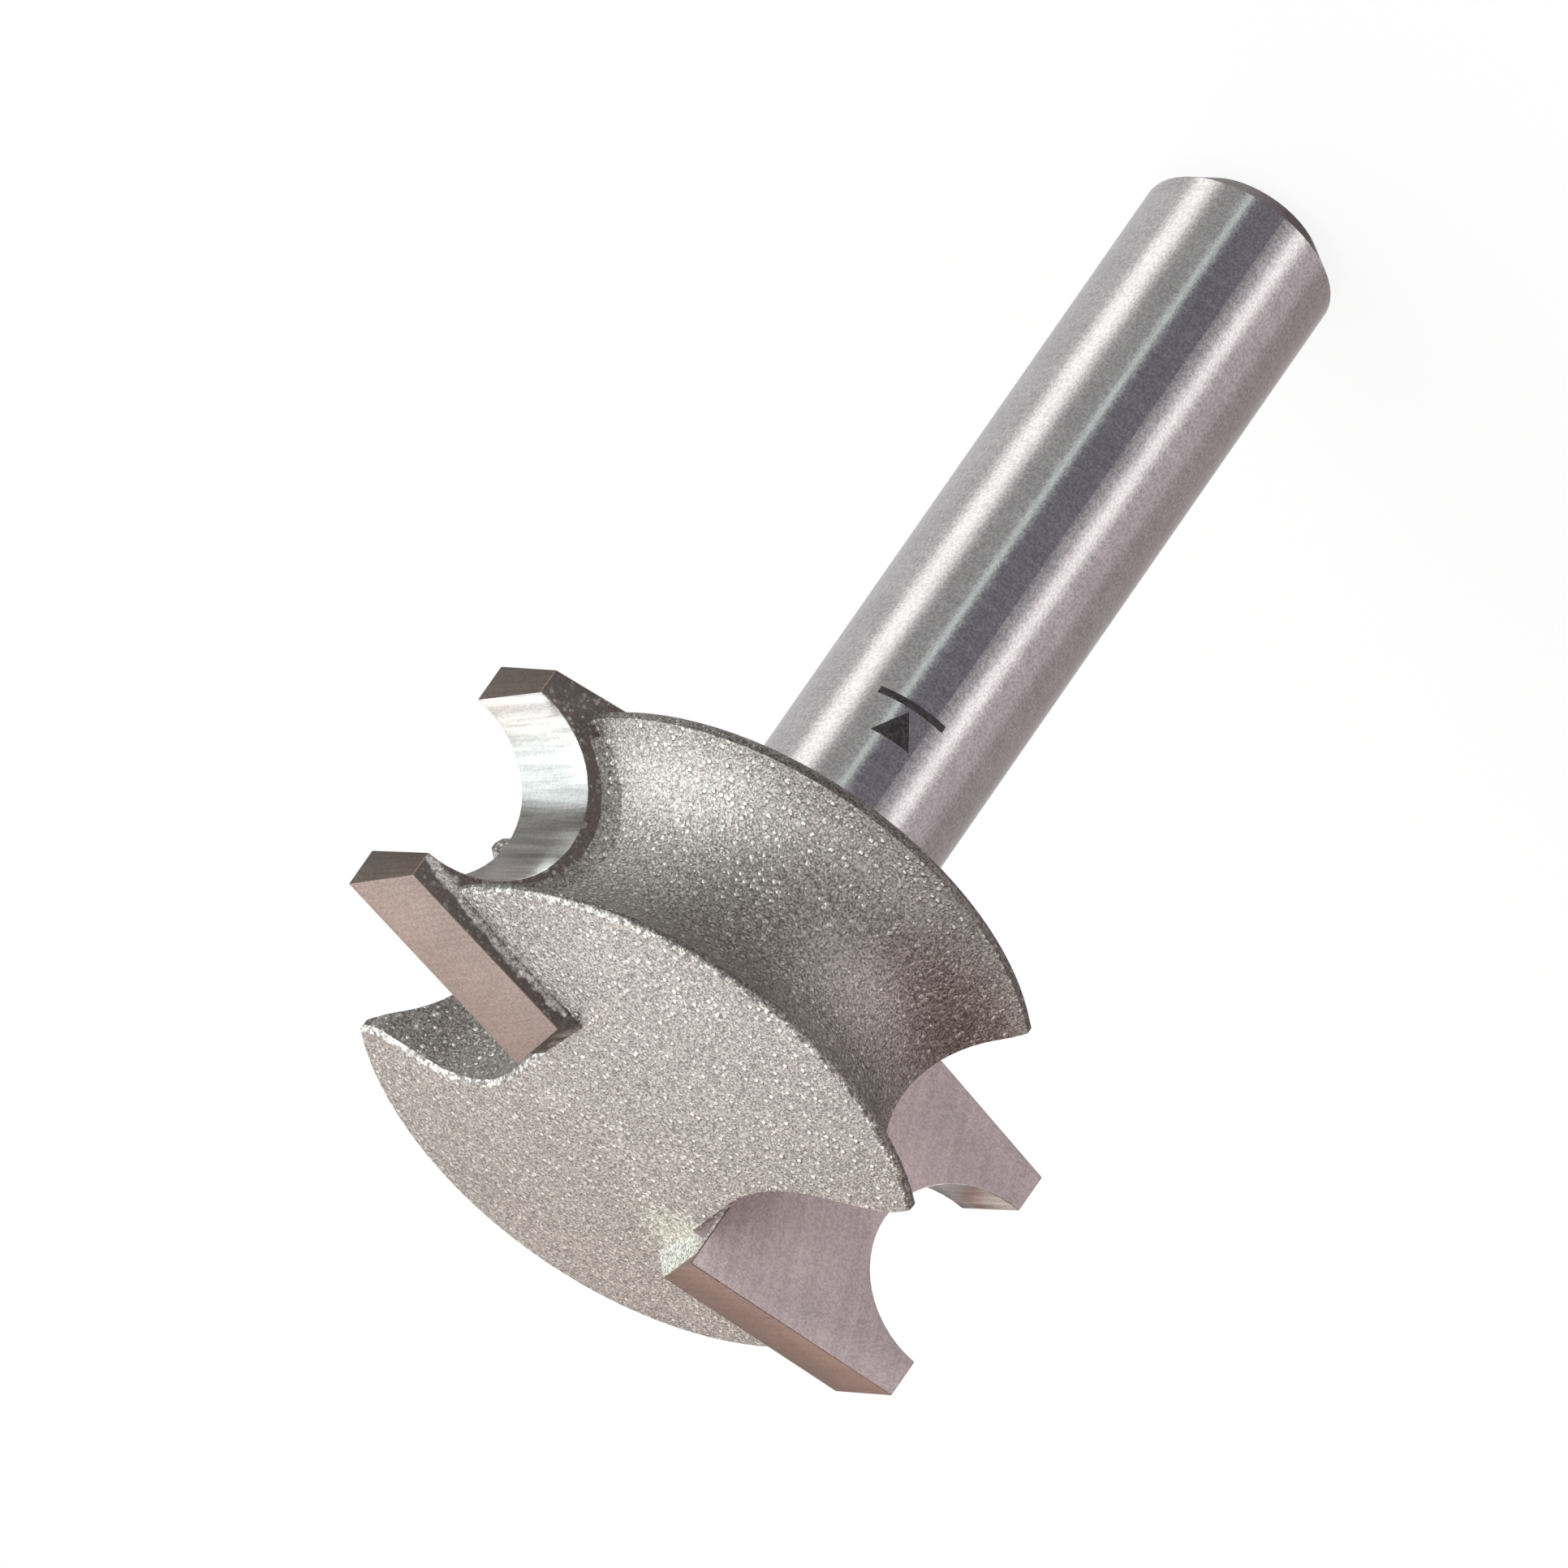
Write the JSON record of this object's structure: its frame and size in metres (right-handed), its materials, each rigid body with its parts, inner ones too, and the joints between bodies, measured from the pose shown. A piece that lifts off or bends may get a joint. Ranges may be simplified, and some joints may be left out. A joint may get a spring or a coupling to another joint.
{
  "type": "sunk bead router bit",
  "caption": "Router bit with a plain round shank and a blasted steel head, whose relieved carbide tips stand beside milled gullets and cut a half-round sunk bead with a flat land on each side.",
  "frame": {"origin": "centre of the shank's flat end face", "axes": "+Z along the turning axis from the shank to the head, +X towards the first carbide tip"},
  "size_m": [0.0224, 0.0188, 0.0395],
  "materials": {
    "blasted_steel": "bead-blasted head and ground shank",
    "carbide": "ground matte carbide",
    "braze": "blasted silver braze"
  },
  "bodies": {
    "root": {"cutter_body": "blasted_steel", "carbide_tip_1": "carbide", "carbide_tip_2": "carbide", "braze_seam_1": "braze", "braze_seam_2": "braze"}
  },
  "joints": []
}
